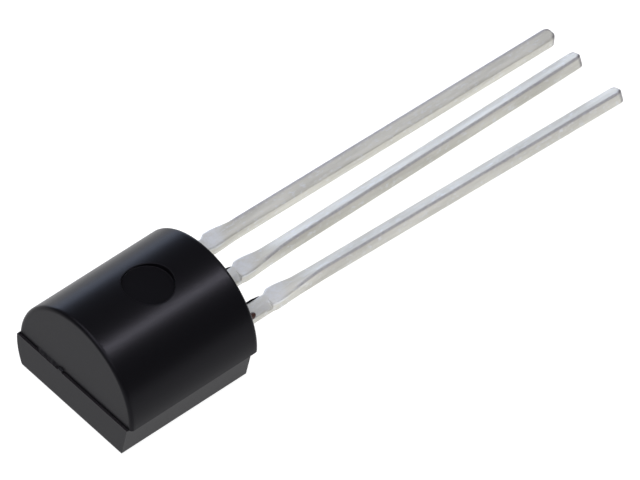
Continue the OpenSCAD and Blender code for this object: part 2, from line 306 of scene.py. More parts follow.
# Share of the ledge that the stump fills
STUMP_FILL = 0.95


def quarter(steps):
    """Angles of a quarter circle from 0, at the ends of its steps."""
    return np.radians(np.linspace(0, 90, steps + 1))


def skin_outline(x_list, phi_blind, phi_lead):
    """The border of the round skin in (x, angle), once round from its +Y corner at the blind end."""
    stretches = (
        (x_list[:-1], np.zeros(len(x_list) - 1)),
        (np.full(len(phi_lead) - 1, x_list[-1]), phi_lead[:-1]),
        (x_list[:0:-1], np.full(len(x_list) - 1, np.pi)),
        (np.full(len(phi_blind) - 1, x_list[0]), phi_blind[:0:-1]),
    )
    x, phi = (np.concatenate(parts) for parts in zip(*stretches))
    return np.append(x, x[0]), np.append(phi, phi[0])


def round_skin(sizes, x_list, phi_blind, phi_lead):
    """The round back with its ejector mark, in one grid.

    Each column starts at the mark's middle and runs over its floor, up its wall, over its lip and along
    the round back to one point of the border. The round back is a circle of the body's radius carried
    along X.
    """
    edge_x, edge_phi = skin_outline(x_list, phi_blind, phi_lead)
    turn = np.arctan2(BODY_R * (np.pi / 2 - edge_phi), edge_x - sizes.mark_x)

    def above(radius):
        """Height of the round back over a point at a distance from the mark's middle."""
        return np.sqrt(BODY_R**2 - (radius * np.sin(turn))**2)

    def ring(radius, height):
        """Ring of the mark, at a distance from its middle and a height above the parting plane."""
        return points_of(sizes.mark_x + radius * np.cos(turn), radius * np.sin(turn), height)

    floor_z = BODY_R - sizes.mark_depth
    rings = [ring(share * (sizes.mark_r - sizes.mark_root), floor_z) for share in FLOOR_RINGS]
    for angle in quarter(ROOT_STEPS):
        radius = sizes.mark_r - sizes.mark_root * (1 - math.sin(angle))
        rings.append(ring(radius, floor_z + sizes.mark_root * (1 - math.cos(angle))))
    for angle in quarter(LIP_STEPS):
        radius = sizes.mark_r + sizes.mark_lip * (1 - math.cos(angle))
        rings.append(ring(radius, above(radius) - sizes.mark_lip * (1 - math.sin(angle))))
    lip = sizes.mark_r + sizes.mark_lip
    lip_x = sizes.mark_x + lip * np.cos(turn)
    lip_phi = np.arccos(lip * np.sin(turn) / BODY_R)
    along = (np.arange(1, SKIN_RINGS + 1) / SKIN_RINGS)[:, None] ** SKIN_POWER
    x = lip_x + along * (edge_x - lip_x)
    phi = lip_phi + along * (edge_phi - lip_phi)
    return np.concatenate([np.stack(rings), points_of(x, BODY_R * np.cos(phi), BODY_R * np.sin(phi))])


def end_of_back(sizes, x_end, inward, phi, shares):
    """Rim and end face of the round half in one grid: a quarter circle, and then rays in to the axis."""
    turn = quarter(RIM_STEPS)[:, None]
    rim_rho = BODY_R - sizes.rim * (1 - np.cos(turn))
    rim_x = x_end + inward * sizes.rim * (1 - np.sin(turn))
    rho = np.concatenate([rim_rho, (BODY_R - sizes.rim) * shares[1:, None]])
    x = np.concatenate([rim_x, np.full((len(shares) - 1, 1), x_end)])
    return points_of(x, rho * np.cos(phi), rho * np.sin(phi))


def drafted(sizes, grid, x0, x1):
    """Leans both ends of the round half inwards by the draft, in step with the height."""
    share = 1 - 2 * (grid[..., 0] - x0) / (x1 - x0)
    grid[..., 0] += math.tan(sizes.draft) * grid[..., 2] * share
    return grid


def gate_relief(sizes, y, z):
    """How far the blind end face stands out (-) at the gate.

    The torn gate is a ramp that falls from the ledge to the face at a height that wavers along Y, as a
    sum of sines. The stump beside it is a smooth box in Y and Z.
    """
    waver = GATE_MEAN + sum(height * np.sin(y / length + phase) for height, length, phase in GATE_WAVES)
    across = ease((sizes.gate_w / 2 - np.abs(y - sizes.gate_y)) / GATE_EDGE)
    torn = across * np.clip(1 - z / (sizes.gate_h * waver), 0.0, 1.0)
    stump_y = sizes.gate_y - sizes.gate_w / 2 - sizes.stump_w / 2
    beside = ease((sizes.stump_w / 2 - np.abs(y - stump_y)) / STUMP_EDGE)
    stump = STUMP_FILL * beside * ease((sizes.stump_h - z) / STUMP_TOP + 0.5)
    return -sizes.step * np.maximum(sizes.gate_fill * torn * waver, stump)


def side_centre(sizes):
    """Middle (y, z) of the round edge between the flat front and a side, inside the body's circle."""
    centre_z = sizes.side_edge - FLAT_DEPTH
    return math.sqrt((BODY_R - sizes.side_edge)**2 - centre_z**2), centre_z


def edge_width(sizes, z):
    """How far the round side edge reaches from the middle plane at a height z: a circle."""
    centre_y, centre_z = side_centre(sizes)
    return centre_y + np.sqrt(np.maximum(sizes.side_edge**2 - (z - centre_z)**2, 0.0))


def far_width(sizes, z):
    """How far the front half reaches towards +Y at a height z: the body's circle, then the edge."""
    touch_z = side_centre(sizes)[1] * BODY_R / (BODY_R - sizes.side_edge)
    return np.where(z > touch_z, np.sqrt(BODY_R**2 - z**2), edge_width(sizes, z))


def near_width(sizes, z):
    """How far it reaches towards -Y: a plane down from the parting that touches the round edge."""
    centre_y, centre_z = side_centre(sizes)
    top = BODY_R - sizes.near_set
    reach = math.hypot(top - centre_y, centre_z)
    turn = math.atan2(-centre_z, top - centre_y) - math.acos(sizes.side_edge / reach)
    touch_y = centre_y + sizes.side_edge * math.cos(turn)
    touch_z = centre_z + sizes.side_edge * math.sin(turn)
    return np.where(z > touch_z, top + (touch_y - top) * z / touch_z, edge_width(sizes, z))


def front_inset(sizes, z):
    """How far an end face of the front half stands back at height z: its draft, then the round rim."""
    below = np.maximum(sizes.rim - FLAT_DEPTH - z, 0.0)
    return -z * math.tan(sizes.draft) + sizes.rim - np.sqrt(np.maximum(sizes.rim**2 - below**2, 0.0))


def front_grids(sizes, x_list, across):
    """The front half's two sides, flat and two end faces, as five grids with shared edges."""
    z = -FLAT_DEPTH * np.sin(quarter(FRONT_STEPS))[:, None]
    along = (x_list - FRONT_X0) / (FRONT_X1 - FRONT_X0)
    inset = front_inset(sizes, z)
    x = FRONT_X0 + inset + along * (FRONT_X1 - FRONT_X0 - 2 * inset)
    near, far = near_width(sizes, z), far_width(sizes, z)
    y = across * np.where(across < 0, near, far)
    sides = [points_of(x, -near, z), points_of(x, far, z)]
    flat = points_of(x[-1][:, None], y[-1], z[-1])
    return [*sides, flat, points_of(x[:, :1], y, z), points_of(x[:, -1:], y, z)]


def body_grids(sizes):
    """All the grids of the moulded body, whose shared edges meet point for point, and their marks.

    The first of a point's three shares is the torn flash at the parting line of the blind end: a slope
    that falls with the distance from the parting plane. The other two aren't used.
    """
    back_x0 = FRONT_X0 + sizes.step
    skin_x0, skin_x1 = back_x0 + sizes.rim, BACK_X1 - sizes.rim
    x_list = np.concatenate([
        np.linspace(skin_x0, FRONT_X1, ALONG_STATIONS),
        np.linspace(FRONT_X1, skin_x1, PAST_STATIONS + 1)[1:],
    ])
    phi_lead = np.linspace(0, np.pi, LEAD_RAYS)
    phi_blind = np.radians(np.concatenate([
        np.linspace(0, GATE_ANGLE, GATE_RAYS),
        np.linspace(GATE_ANGLE, 180, OTHER_RAYS)[1:],
    ]))
    shares = np.linspace(1, 0, FACE_STEPS + 1)
    skin = round_skin(sizes, x_list, phi_blind, phi_lead)
    blind = end_of_back(sizes, back_x0, 1, phi_blind, shares)
    face = blind[RIM_STEPS + 1:]
    face[..., 0] += gate_relief(sizes, face[..., 1], face[..., 2])
    lead_end = end_of_back(sizes, BACK_X1, -1, phi_lead, shares)
    back = [drafted(sizes, grid, back_x0, BACK_X1) for grid in (skin, blind, lead_end)]

    # Both ends' borders on the parting plane, from the -Y side to the +Y side
    blind_edge = np.concatenate([blind[:, -1], blind[-2::-1, 0]])
    lead_edge = np.concatenate([lead_end[:, -1], lead_end[-2::-1, 0]])
    across = np.concatenate([-shares, shares[-2::-1]])
    inner = BODY_R - sizes.near_set
    corner = np.append(back_x0 + sizes.rim * (1 - np.sin(quarter(RIM_STEPS)[:-1])), FRONT_X0)
    ledge_y = across * np.where(across < 0, inner, BODY_R)
    ledge = np.concatenate([
        points_of(corner[:-1], -inner, 0.0),
        points_of(FRONT_X0, ledge_y, 0.0),
        points_of(corner[-2::-1], BODY_R, 0.0),
    ])
    end_y = [np.full(RIM_STEPS + PAST_STATIONS, side) for side in (-inner, BODY_R)]
    overhang = points_of(FRONT_X1, np.concatenate([end_y[0], ledge_y, end_y[1]]), 0.0)
    shared_x = x_list[:-PAST_STATIONS]
    underside = np.stack([points_of(shared_x, y, 0.0) for y in (-inner, -BODY_R)])
    past = x_list[-PAST_STATIONS - 1:-1]
    lead_edge = np.concatenate([
        points_of(past, -BODY_R, 0.0), lead_edge, points_of(past[::-1], BODY_R, 0.0),
    ])
    strips = [np.stack([ledge, blind_edge]), np.stack([overhang, lead_edge]), underside]
    front_x = np.concatenate([corner[:0:-1], shared_x])
    grids = [*back, *strips, *front_grids(sizes, front_x, across)]
    torn_x = back_x0 + MARGIN
    marks = []
    for grid in grids:
        torn = ease(1 - np.abs(grid[..., 2]) / sizes.torn_h) * (grid[..., 0] < torn_x)
        marks.append(np.stack([torn, 0 * torn, 0 * torn], axis=-1))
        grid[..., 2] += PARTING
    return grids, marks


# ---- Leads ----

# Points between two corners of a lead's outline, as shares of the straight stretch
OUTLINE_SHARES = (0.06, 0.25, 0.5, 0.75, 0.94)
# Stations over a lock notch, the neck, the stub's slope, from there to the twist's end, and on to the tip
NOTCH_STATIONS, NECK_STATIONS, SLOPE_STATIONS, TWIST_STATIONS, REST_STATIONS = 17, 16, 19, 51, 42
# Steps of the round corners of the outline, of the paddle and the posts, and of the tip
OUTLINE_STEPS, HEAD_STEPS, TIP_STEPS = 8, 6, 9
# Distance from the body to the neck's first station, and from its last to the stub
NECK_START, NECK_END = 0.02 * MM, 0.06 * MM
# How far before the stub the bevel ends
BEVEL_END = 0.01 * MM
# Pressed mark: its share on the neck, how far its end slants along X for each step along Y, the lengths
# over which it starts and ends, its depth below the upper face and the part of it over which it fades
NECK_SHARE, PRESS_SLANT = 0.6, 0.6
PRESS_START, PRESS_END, PRESS_DEPTH, PRESS_FADE = 0.08 * MM, 0.5 * MM, 0.144 * MM, 0.08 * MM
# Length over which the painted shade along the rolled upper edge starts along a lead
EDGE_SHADE_START = 0.3 * MM
# Cut mark: its width round the tip, the width of its soft edge, and the length over which it starts
CUT_WIDTH, CUT_EDGE, CUT_START = 0.08 * MM, 0.05 * MM, 0.08 * MM


def lead_outline(sizes):
    """Outline of a lead in (y, z) about its middle, once round: straight lines between round corners."""
    half_y, half_z = sizes.width / 2, LEAD_T / 2
    corners = [
        (half_y - sizes.punch_r, half_z - sizes.punch_r, sizes.punch_r, 0),
        (sizes.punch_r - half_y, half_z - sizes.punch_r, sizes.punch_r, 90),
        (sizes.burr_r - half_y, sizes.burr_r - half_z, sizes.burr_r, 180),
        (half_y - sizes.burr_r, sizes.burr_r - half_z, sizes.burr_r, 270),
    ]
    arcs = []
    for y, z, radius, start in corners:
        turn = np.radians(start + np.linspace(0, 90, OUTLINE_STEPS + 1))
        arcs.append(np.stack([y + radius * np.cos(turn), z + radius * np.sin(turn)], axis=1))
    rows = []
    for arc, following in zip(arcs, arcs[1:] + arcs[:1]):
        between = np.array(OUTLINE_SHARES)[:, None]
        rows += [arc, arc[-1] + between * (following[0] - arc[-1])]
    outline = np.concatenate(rows)
    return np.concatenate([outline, outline[:1]])


def lead_stations(sizes, index):
    """Places along a lead, with how far its two edges lie from its middle line there.

    Returns x, the edge towards +Y and the edge towards -Y. A step in the width has two stations at one
    place.
    """
    inner_end = BACK_X1 - sizes.inner_set
    stub0 = BACK_X1 + sizes.dambar_x
    stub1 = stub0 + sizes.dambar_len
    half, inner = sizes.width / 2, sizes.inner_w / 2
    middle = (1 - index) * sizes.pitch
    if index == 1:
        head0, head_len, head_low, head_high = PADDLE_X0, sizes.paddle_len, -PADDLE_HALF, PADDLE_HALF
    else:
        side = 1 - index
        near, far = POST_Y1 - sizes.post_w, POST_Y1
        head0, head_len = POST_X0, sizes.post_len
        head_low, head_high = sorted((side * near - middle, side * far - middle))
    turn = quarter(HEAD_STEPS)
    head_x = np.concatenate([
        head0 + sizes.head_r * (1 - np.cos(turn)),
        head0 + head_len - sizes.head_r * (1 - np.cos(turn[::-1])),
    ])
    corner = np.concatenate([sizes.head_r * (1 - np.sin(turn)), sizes.head_r * (1 - np.sin(turn[::-1]))])
    notch = np.linspace(-1, 1, NOTCH_STATIONS)
    lock_x = BACK_X1 - sizes.lock_x + sizes.lock_r * notch
    bite = sizes.lock_r * np.sqrt(1 - notch**2)
    inner_x = np.concatenate([[head0 + head_len], lock_x, [inner_end]])
    inner_half = inner - np.concatenate([[0.0], bite, [0.0]])
    outer_x = np.concatenate([
        [inner_end, BACK_X1],
        np.linspace(BACK_X1 + NECK_START, stub0 - NECK_END, NECK_STATIONS),
        np.linspace(stub0 - NECK_END, stub0 + sizes.stub_slope, SLOPE_STATIONS)[1:],
        np.linspace(stub0 + sizes.stub_slope, stub1 + sizes.twist_len, TWIST_STATIONS)[1:],
        np.linspace(stub1 + sizes.twist_len, TIP_X - sizes.tip_r, REST_STATIONS)[1:],
    ])
    ramp = ease((outer_x - stub0) / sizes.stub_slope)
    ramp *= ease((stub1 + sizes.stub_trail - outer_x) / sizes.stub_fade)
    x = np.concatenate([head_x, inner_x, outer_x])
    high = np.concatenate([head_high - corner, inner_half, half + sizes.stub_far * ramp])
    low = np.concatenate([head_low + corner, -inner_half, -half - sizes.stub_near * ramp])
    return x, high, low


def lead_marks(sizes, side, x, y, z):
    """How strongly each point is pressed, painted with edge shade and cut, as a grid of three shares.

    Pressed is the upper side of the neck, in part, and of the dambar stub up to a slanting end. The
    painted edge shade is a dark line that stands in for the dark reflection on the rolled upper edge: a
    product of two slopes that both rise over the last stretch to the upper corner on one side. Cut is a
    slope over the round rim of the tip, in the distance from the middle of its half circle.
    """
    stub0 = BACK_X1 + sizes.dambar_x
    stub_end = stub0 + sizes.dambar_len + PRESS_SLANT * y
    below = LEAD_T / 2 - z
    pressed = NECK_SHARE + (1 - NECK_SHARE) * ease((x - stub0) / PRESS_START)
    pressed = pressed * ease((stub_end - x) / PRESS_END) * ease((PRESS_DEPTH - below) / PRESS_FADE)
    # Painted shade along the rolled upper edge, on the far side of the base lead and the near side of the
    # others
    shade_width = sizes.base_edge_shade if side > 0 else sizes.punch_r
    outwards = np.clip((side * y - sizes.width / 2 + shade_width) / shade_width, 0, 1)
    upwards = np.clip((sizes.punch_r - below) / sizes.punch_r, 0, 1)
    edge_shade = np.clip(2 * outwards * upwards, 0, 1) * ease((x - stub_end) / EDGE_SHADE_START)
    beyond = x - TIP_X + sizes.tip_r
    cut = ease((np.hypot(beyond, y) - sizes.tip_r + CUT_WIDTH) / CUT_EDGE) * ease(beyond / CUT_START)
    return np.stack(np.broadcast_arrays(pressed, edge_shade, cut), axis=-1)


def bevelled(sizes, x, y, z, edge):
    """Cuts the upper corner towards -Y off a neck, with a plane at 45 degrees that sinks along X."""
    past = x - BACK_X1
    depth = sizes.bevel_body + (sizes.bevel_stub - sizes.bevel_body) * past / sizes.dambar_x
    on_neck = (past > -MARGIN) & (past < sizes.dambar_x - BEVEL_END)
    over = np.maximum(z - LEAD_T / 2 + edge - y + depth, 0.0) * on_neck
    return y + over / 2, z - over / 2


def lead_grids(sizes, index):
    """One lead as a grid, and its marks.

    Its outline is carried along its stations, bent sideways, twisted and closed at both ends.
    """
    splay = (sizes.base_splay, sizes.collector_splay, sizes.emitter_splay)[index]
    twist = (sizes.base_twist, sizes.collector_twist, sizes.emitter_twist)[index]
    outline = lead_outline(sizes)
    x, high, low = lead_stations(sizes, index)

    # The corners of the tip follow a quarter circle
    turn = quarter(TIP_STEPS)[1:]
    tip_half = sizes.width / 2 - sizes.tip_r * (1 - np.cos(turn))
    x = np.append(x, TIP_X - sizes.tip_r + sizes.tip_r * np.sin(turn))
    high, low = np.append(high, tip_half), np.append(low, -tip_half)

    # So do its upper and lower edges, seen from the side
    def dip(radius):
        """How far an edge with this radius has drawn in at each station."""
        beyond = np.clip((x - TIP_X) / radius + 1, 0, 1)
        return (radius * (1 - np.sqrt(1 - beyond**2)))[:, None]

    # Spread the outline's two sides to each station's edges, or shrink it where a station is narrower
    side = np.sign(outline[:, 0])
    inward = outline[:, 0] - side * sizes.width / 2
    reach = np.where(side > 0, high[:, None], low[:, None])
    shrink = side * reach / (sizes.width / 2)
    y = np.where(shrink < 1, shrink * outline[:, 0], reach + inward)
    drawn = np.where(outline[:, 1] > 0, dip(sizes.tip_roll), dip(sizes.tip_edge))
    z = outline[:, 1] * (1 - 2 * drawn / LEAD_T)
    middle = (high + low)[:, None] / 2
    x, y, z = np.broadcast_arrays(x[:, None], y, z)
    marks = lead_marks(sizes, 1 if index == 0 else -1, x, y, z)
    if index > 0:
        y, z = bevelled(sizes, x, y, z, low[:, None])
    x = np.concatenate([x[:1], x, x[-1:]])
    y = np.concatenate([0 * y[:1] + middle[0], y, 0 * y[-1:] + middle[-1]])
    z = np.concatenate([0 * z[:1], z, 0 * z[-1:] + z[-1].mean()])
    marks = np.concatenate([marks[:1], marks, marks[-1:]])

    # Twist about the middle line, and then bend
    bend_x = BACK_X1 + sizes.dambar_x + sizes.dambar_len - sizes.stub_slope
    beyond = x - bend_x
    angle = twist * ease((beyond + sizes.stub_slope) / sizes.twist_len)
    y, z = y * np.cos(angle) + z * np.sin(angle), z * np.cos(angle) - y * np.sin(angle)
    bent = beyond > 0
    x, y = (
        np.where(bent, bend_x + beyond * math.cos(splay) - y * math.sin(splay), x),
        np.where(bent, beyond * math.sin(splay) + y * math.cos(splay), y),
    )
    return [points_of(x, y + (1 - index) * sizes.pitch, z + PARTING + LEAD_T / 2)], [marks]


# ---- Trim that the moulding left ----

# Stations along a fin and points round it, and points over the bead's tilt and round its turn
FIN_STATIONS, FIN_POINTS, BEAD_TILTS, BEAD_TURNS = 40, 25, 25, 49
# Sines along a fin that make its top waver: height, angle over its length and times the fin's phase
FIN_WAVES = ((0.25, 9, 1), (0.15, 23, 2))
# Share by which a fin thins towards its end, the share of a lead's thickness below it, and how far it
# stands off the lead, as a share of its own thickness
FIN_THINS, FIN_FOOT, FIN_OFF = 0.35, 0.4, 0.2
# Power of the curve that closes a fin at its end, and the share of its length that closes its start
FIN_END, FIN_START = 6, 1 / 40
# Sines of the bead's angles that make its radius waver: height, times the turn, times the tilt and phase
BEAD_WAVES = ((0.12, 2, 0, 1), (0.08, 3, 4, 0))


def fin_grid(sizes, y, length, phase):
    """One fin of flash beside a lead, as a grid that is closed at both ends.

    A flat oval is carried along X from inside the body. Its top wavers as a sum of sines, and it thins
    towards its end.
    """
    along = np.linspace(0, 1, FIN_STATIONS)[:, None]
    turn = np.linspace(0, 2 * np.pi, FIN_POINTS)
    taper = np.sqrt(1 - along**FIN_END) * np.sqrt(np.minimum(along / FIN_START, 1))
    waver = sum(height * np.sin(along * angle + times * phase) for height, angle, times in FIN_WAVES)
    half = sizes.fin_t / 2 * (1 - FIN_THINS * along) * taper
    low_z, high_z = PARTING + LEAD_T * FIN_FOOT, PARTING + LEAD_T + sizes.fin_top * (1 + waver)
    middle, reach = (low_z + high_z) / 2, (high_z - low_z) / 2 * taper
    x = BACK_X1 - sizes.fin_t + along * (length + sizes.fin_t)
    oval_y = half * np.sign(np.cos(turn)) * np.sqrt(np.abs(np.cos(turn)))
    return points_of(x, y + oval_y, middle + reach * np.sin(turn))


def bead_grid(sizes):
    """The bead of resin: a ball drawn out in X, whose radius wavers as a sum of sines but for its poles."""
    tilt = np.linspace(0, np.pi, BEAD_TILTS)[:, None]
    turn = np.linspace(0, 2 * np.pi, BEAD_TURNS)
    waver = sum(height * np.sin(m * turn + n * tilt + phase) for height, m, n, phase in BEAD_WAVES)
    radius = sizes.bead_r * (1 + waver * np.sin(tilt)**2)
    x = sizes.bead_at[0] + sizes.bead_drawn * radius * np.sin(tilt) * np.cos(turn)
    y = sizes.bead_at[1] + radius * np.sin(tilt) * np.sin(turn)
    return points_of(x, y, sizes.bead_at[2] + radius * np.cos(tilt))


# ---- Finishes ----

# Grains of the colours: how many to the metre, the values from which and up to which they go, and how
# they are stretched along the axes
ALL_WAYS = (1.0, 1.0, 1.0)
STREAKS = (3600.0, -0.1, 1.1, (0.12, 1.0, 1.0))
FLECKS = (11000.0, -1.0, 0.7, (0.5, 1.0, 1.0))
MOTTLE = (7000.0, 0.45, 1.15, ALL_WAYS)
PATCHES = (16000.0, 0.4, 1.0, ALL_WAYS)
TORN_PATCHES = (12000.0, 0.5, 1.0, ALL_WAYS)


def new_material(name):
    """Makes an empty node material, and returns its node tree."""
    material = bpy.data.materials.new(name)
    material.use_nodes = True
    material.node_tree.nodes.clear()
    return material.node_tree


def finish(name):
    """A material that new_material has made."""
    return bpy.data.materials[name]


def grain_group():
    """Fine grain: a noise, put out as a height and as a value between two limits."""
    group = bpy.data.node_groups.new("Fine grain", "ShaderNodeTree")
    group.interface.new_socket("Vector", in_out="INPUT", socket_type="NodeSocketVector")
    for name in ("Scale", "Low", "High"):
        group.interface.new_socket(name, in_out="INPUT", socket_type="NodeSocketFloat")
    for name in ("Value", "Height"):
        group.interface.new_socket(name, in_out="OUTPUT", socket_type="NodeSocketFloat")
    nodes, links = group.nodes, group.links
    inside = nodes.new("NodeGroupInput")
    outside = nodes.new("NodeGroupOutput")
    noise = nodes.new("ShaderNodeTexNoise")
    noise.inputs["Detail"].default_value = 4.0
    noise.inputs["Roughness"].default_value = 0.6
    spread = nodes.new("ShaderNodeMapRange")
    spread.inputs["From Min"].default_value = 0.3
    spread.inputs["From Max"].default_value = 0.7
    links.new(inside.outputs["Vector"], noise.inputs["Vector"])
    links.new(inside.outputs["Scale"], noise.inputs["Scale"])
    links.new(noise.outputs["Fac"], spread.inputs["Value"])
    links.new(inside.outputs["Low"], spread.inputs["To Min"])
    links.new(inside.outputs["High"], spread.inputs["To Max"])
    links.new(spread.outputs["Result"], outside.inputs["Value"])
    links.new(noise.outputs["Fac"], outside.inputs["Height"])
    return group


def add_grain(tree, group, scale, low, high, stretch):
    """Places the grain group on object coordinates, stretched along the axes, and returns its node."""
    place = tree.nodes.new("ShaderNodeTexCoord")
    mapping = tree.nodes.new("ShaderNodeMapping")
    mapping.inputs["Scale"].default_value = stretch
    grain = tree.nodes.new("ShaderNodeGroup")
    grain.node_tree = group
    grain.inputs["Scale"].default_value = scale
    grain.inputs["Low"].default_value = low
    grain.inputs["High"].default_value = high
    tree.links.new(place.outputs["Object"], mapping.inputs["Vector"])
    tree.links.new(mapping.outputs["Vector"], grain.inputs["Vector"])
    return grain


def finish_material(group, name, colour, metallic, ior, rough, spread, grain, bump, stretch=ALL_WAYS):
    """Makes a finish whose roughness and bumps follow the fine grain. Returns its tree and shader."""
    tree = new_material(name)
    shader = tree.nodes.new("ShaderNodeBsdfPrincipled")
    output = tree.nodes.new("ShaderNodeOutputMaterial")
    shader.inputs["Base Color"].default_value = (*colour, 1.0)
    shader.inputs["Metallic"].default_value = metallic
    shader.inputs["IOR"].default_value = ior
    fine = add_grain(tree, group, grain, rough - spread, rough + spread, stretch)
    lift = tree.nodes.new("ShaderNodeBump")
    lift.inputs["Strength"].default_value = 1.0
    lift.inputs["Distance"].default_value = bump
    tree.links.new(fine.outputs["Value"], shader.inputs["Roughness"])
    tree.links.new(fine.outputs["Height"], lift.inputs["Height"])
    tree.links.new(lift.outputs["Normal"], shader.inputs["Normal"])
    tree.links.new(shader.outputs["BSDF"], output.inputs["Surface"])
    return tree, shader


def mix_colours(tree, share, first, second):
    """Mixes two colours, each a colour or a socket, by a socket that gives the second one's share."""
    mix = tree.nodes.new("ShaderNodeMix")
    mix.data_type = "RGBA"
    tree.links.new(share, mix.inputs["Factor"])
    for socket, colour in ((mix.inputs["A"], first), (mix.inputs["B"], second)):
        if isinstance(colour, bpy.types.NodeSocket):
            tree.links.new(colour, socket)
        else:
            socket.default_value = (*colour, 1.0)
    return mix.outputs["Result"]


def multiply(tree, first, second):
    """Multiplies two sockets."""
    product = tree.nodes.new("ShaderNodeMath")
    product.operation = "MULTIPLY"
    tree.links.new(first, product.inputs[0])
    tree.links.new(second, product.inputs[1])
    return product.outputs["Value"]


def add_marks(tree):
    """Reads the attribute marks, and returns the node whose three outputs are its shares."""
    marks = tree.nodes.new("ShaderNodeAttribute")
    marks.attribute_name = "marks"
    parts = tree.nodes.new("ShaderNodeSeparateXYZ")
    tree.links.new(marks.outputs["Vector"], parts.inputs["Vector"])
    return parts


def tin_material(look, group):
    """Tin with streaks, flecks, painted shade along its rolled upper edges, and the marks of the dambar's
    punch and of the cutter.
    """
    tree, shader = finish_material(
        group, "Tinned lead", look.tin_light, metallic=0.38, ior=1.5,
        rough=look.tin_rough, spread=0.06, grain=9000.0, bump=0.0015 * MM, stretch=(0.1, 1.0, 1.0),
    )
    parts = add_marks(tree)
    streak, fleck, mottle, patch = (
        add_grain(tree, group, *grain).outputs["Value"] for grain in (STREAKS, FLECKS, MOTTLE, PATCHES)
    )
    colour = mix_colours(tree, streak, look.tin_dark, look.tin_light)
    colour = mix_colours(tree, fleck, colour, look.tin_pressed)
    # The Y mark paints the dark edge shade that stands in for the rolled edges' dark reflection
    marked = (("X", mottle, look.tin_pressed), ("Y", patch, look.tin_edge_shade), ("Z", patch, look.tin_cut))
    for part, grain, paint in marked:
        colour = mix_colours(tree, multiply(tree, parts.outputs[part], grain), colour, paint)
    tree.links.new(colour, shader.inputs["Base Color"])


def epoxy_material(look, group):
    """Satin black epoxy, which is paler and mottled where its flash has torn off."""
    tree, shader = finish_material(
        group, "Moulding epoxy", look.epoxy, metallic=0.0, ior=1.2,
        rough=look.epoxy_rough, spread=0.03, grain=30000.0, bump=0.0006 * MM,
    )
    shader.inputs["Specular Tint"].default_value = (*look.epoxy_tint, 1.0)
    patch = add_grain(tree, group, *TORN_PATCHES).outputs["Value"]
    torn = multiply(tree, add_marks(tree).outputs["X"], patch)
    tree.links.new(mix_colours(tree, torn, look.epoxy, look.epoxy_torn), shader.inputs["Base Color"])


def make_finishes():
    """Makes all the finishes, once."""
    look = bpy.context.scene.transistor_finishes
    group = grain_group()
    epoxy_material(look, group)
    tin_material(look, group)
    # Name, colour, metal, refraction, roughness, its spread, grains to the metre and height of the bumps
    for plain in (
        ("Resin bead", look.bead, 0.0, 1.45, 0.25, 0.05, 30000.0, 0.001 * MM),
        ("Silicon", look.silicon, 0.6, 3.0, 0.15, 0.03, 4000.0, 0.0001 * MM),
        ("Silver adhesive", look.adhesive, 0.5, 1.5, 0.5, 0.1, 40000.0, 0.002 * MM),
        ("Gold wire", look.gold, 1.0, 1.5, 0.2, 0.05, 60000.0, 0.0005 * MM),
    ):
        finish_material(group, *plain)


# ---- Operators ----

SOLID_FINISHES = {
    "moulded_body": "Moulding epoxy",
    **dict.fromkeys(LEADS, "Tinned lead"),
    "silicon_die": "Silicon",
    "die_attach": "Silver adhesive",
    "base_bond_wire": "Gold wire",
    "emitter_bond_wire": "Gold wire",
}


class TRANSISTOR_OT_finishes(bpy.types.Operator):
    """Make the finishes and put them on the solids."""

    bl_idname = "transistor.finishes"
    bl_label = "Finishes"

    def execute(self, context):
        make_finishes()
        for node, name in SOLID_FINISHES.items():
            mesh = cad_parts[node].data
            mesh.materials.clear()
            mesh.materials.append(finish(name))
        return {"FINISHED"}


class TRANSISTOR_OT_body(bpy.types.Operator):
    """Build the moulded body's skin."""

    bl_idname = "transistor.body"
    bl_label = "Moulded body"

    def execute(self, context):
        grids, marks = body_grids(context.scene.transistor_body)
        epoxy = finish("Moulding epoxy")
        make_piece("moulded_skin", grids, epoxy, ("moulded_body",), marks)
        return {"FINISHED"}


class TRANSISTOR_OT_leads(bpy.types.Operator):
    """Build the three tinned leads."""

    bl_idname = "transistor.leads"
    bl_label = "Leads"

    def execute(self, context):
        for index, node in enumerate(LEADS):
            grids, marks = lead_grids(context.scene.transistor_leads, index)
            make_piece("tinned_" + node, grids, finish("Tinned lead"), (node,), marks)
        return {"FINISHED"}


class TRANSISTOR_OT_trim(bpy.types.Operator):
    """Build the fins of flash and the bead of resin that the moulding left on the leads."""

    bl_idname = "transistor.trim"
    bl_label = "Moulding trim"

    def execute(self, context):
        sizes = context.scene.transistor_trim
        leads = context.scene.transistor_leads
        epoxy = finish("Moulding epoxy")
        fins = (("collector_fin", 1, sizes.collector_fin), ("emitter_fin", 2, sizes.emitter_fin))
        for name, index, length in fins:
            edge = (1 - index) * leads.pitch + leads.width / 2 + FIN_OFF * sizes.fin_t
            make_piece(name, [fin_grid(sizes, edge, length, index)], epoxy)
        make_piece("resin_bead", [bead_grid(sizes)], finish("Resin bead"))
        return {"FINISHED"}


# Soft lights: name, direction from the part, distance, length along X and width, power, colour, and the
# pieces that a light is kept to, if it doesn't light them all
LIGHTS = (
    ("Strip light", (0.466, -0.258, 0.84), 0.3, (0.12, 0.031), 0.40, (0.96, 0.95, 1.0), ("moulded_skin",)),
    ("Back light", (0.472, 0.872, 0.10), 0.35, (0.3, 0.10), 0.34, (0.64, 0.75, 1.0), ()),
    ("Key light", (-0.62, -0.1, 0.78), 0.5, (0.35, 0.35), 1.0, (0.92, 0.90, 1.0), ()),
    ("Over light", (-0.15, 0.0, 1.0), 0.5, (0.25, 0.8), 2.05, (0.95, 0.96, 1.0), ()),
)
# Half the side of the floor
FLOOR_REACH = 1.0


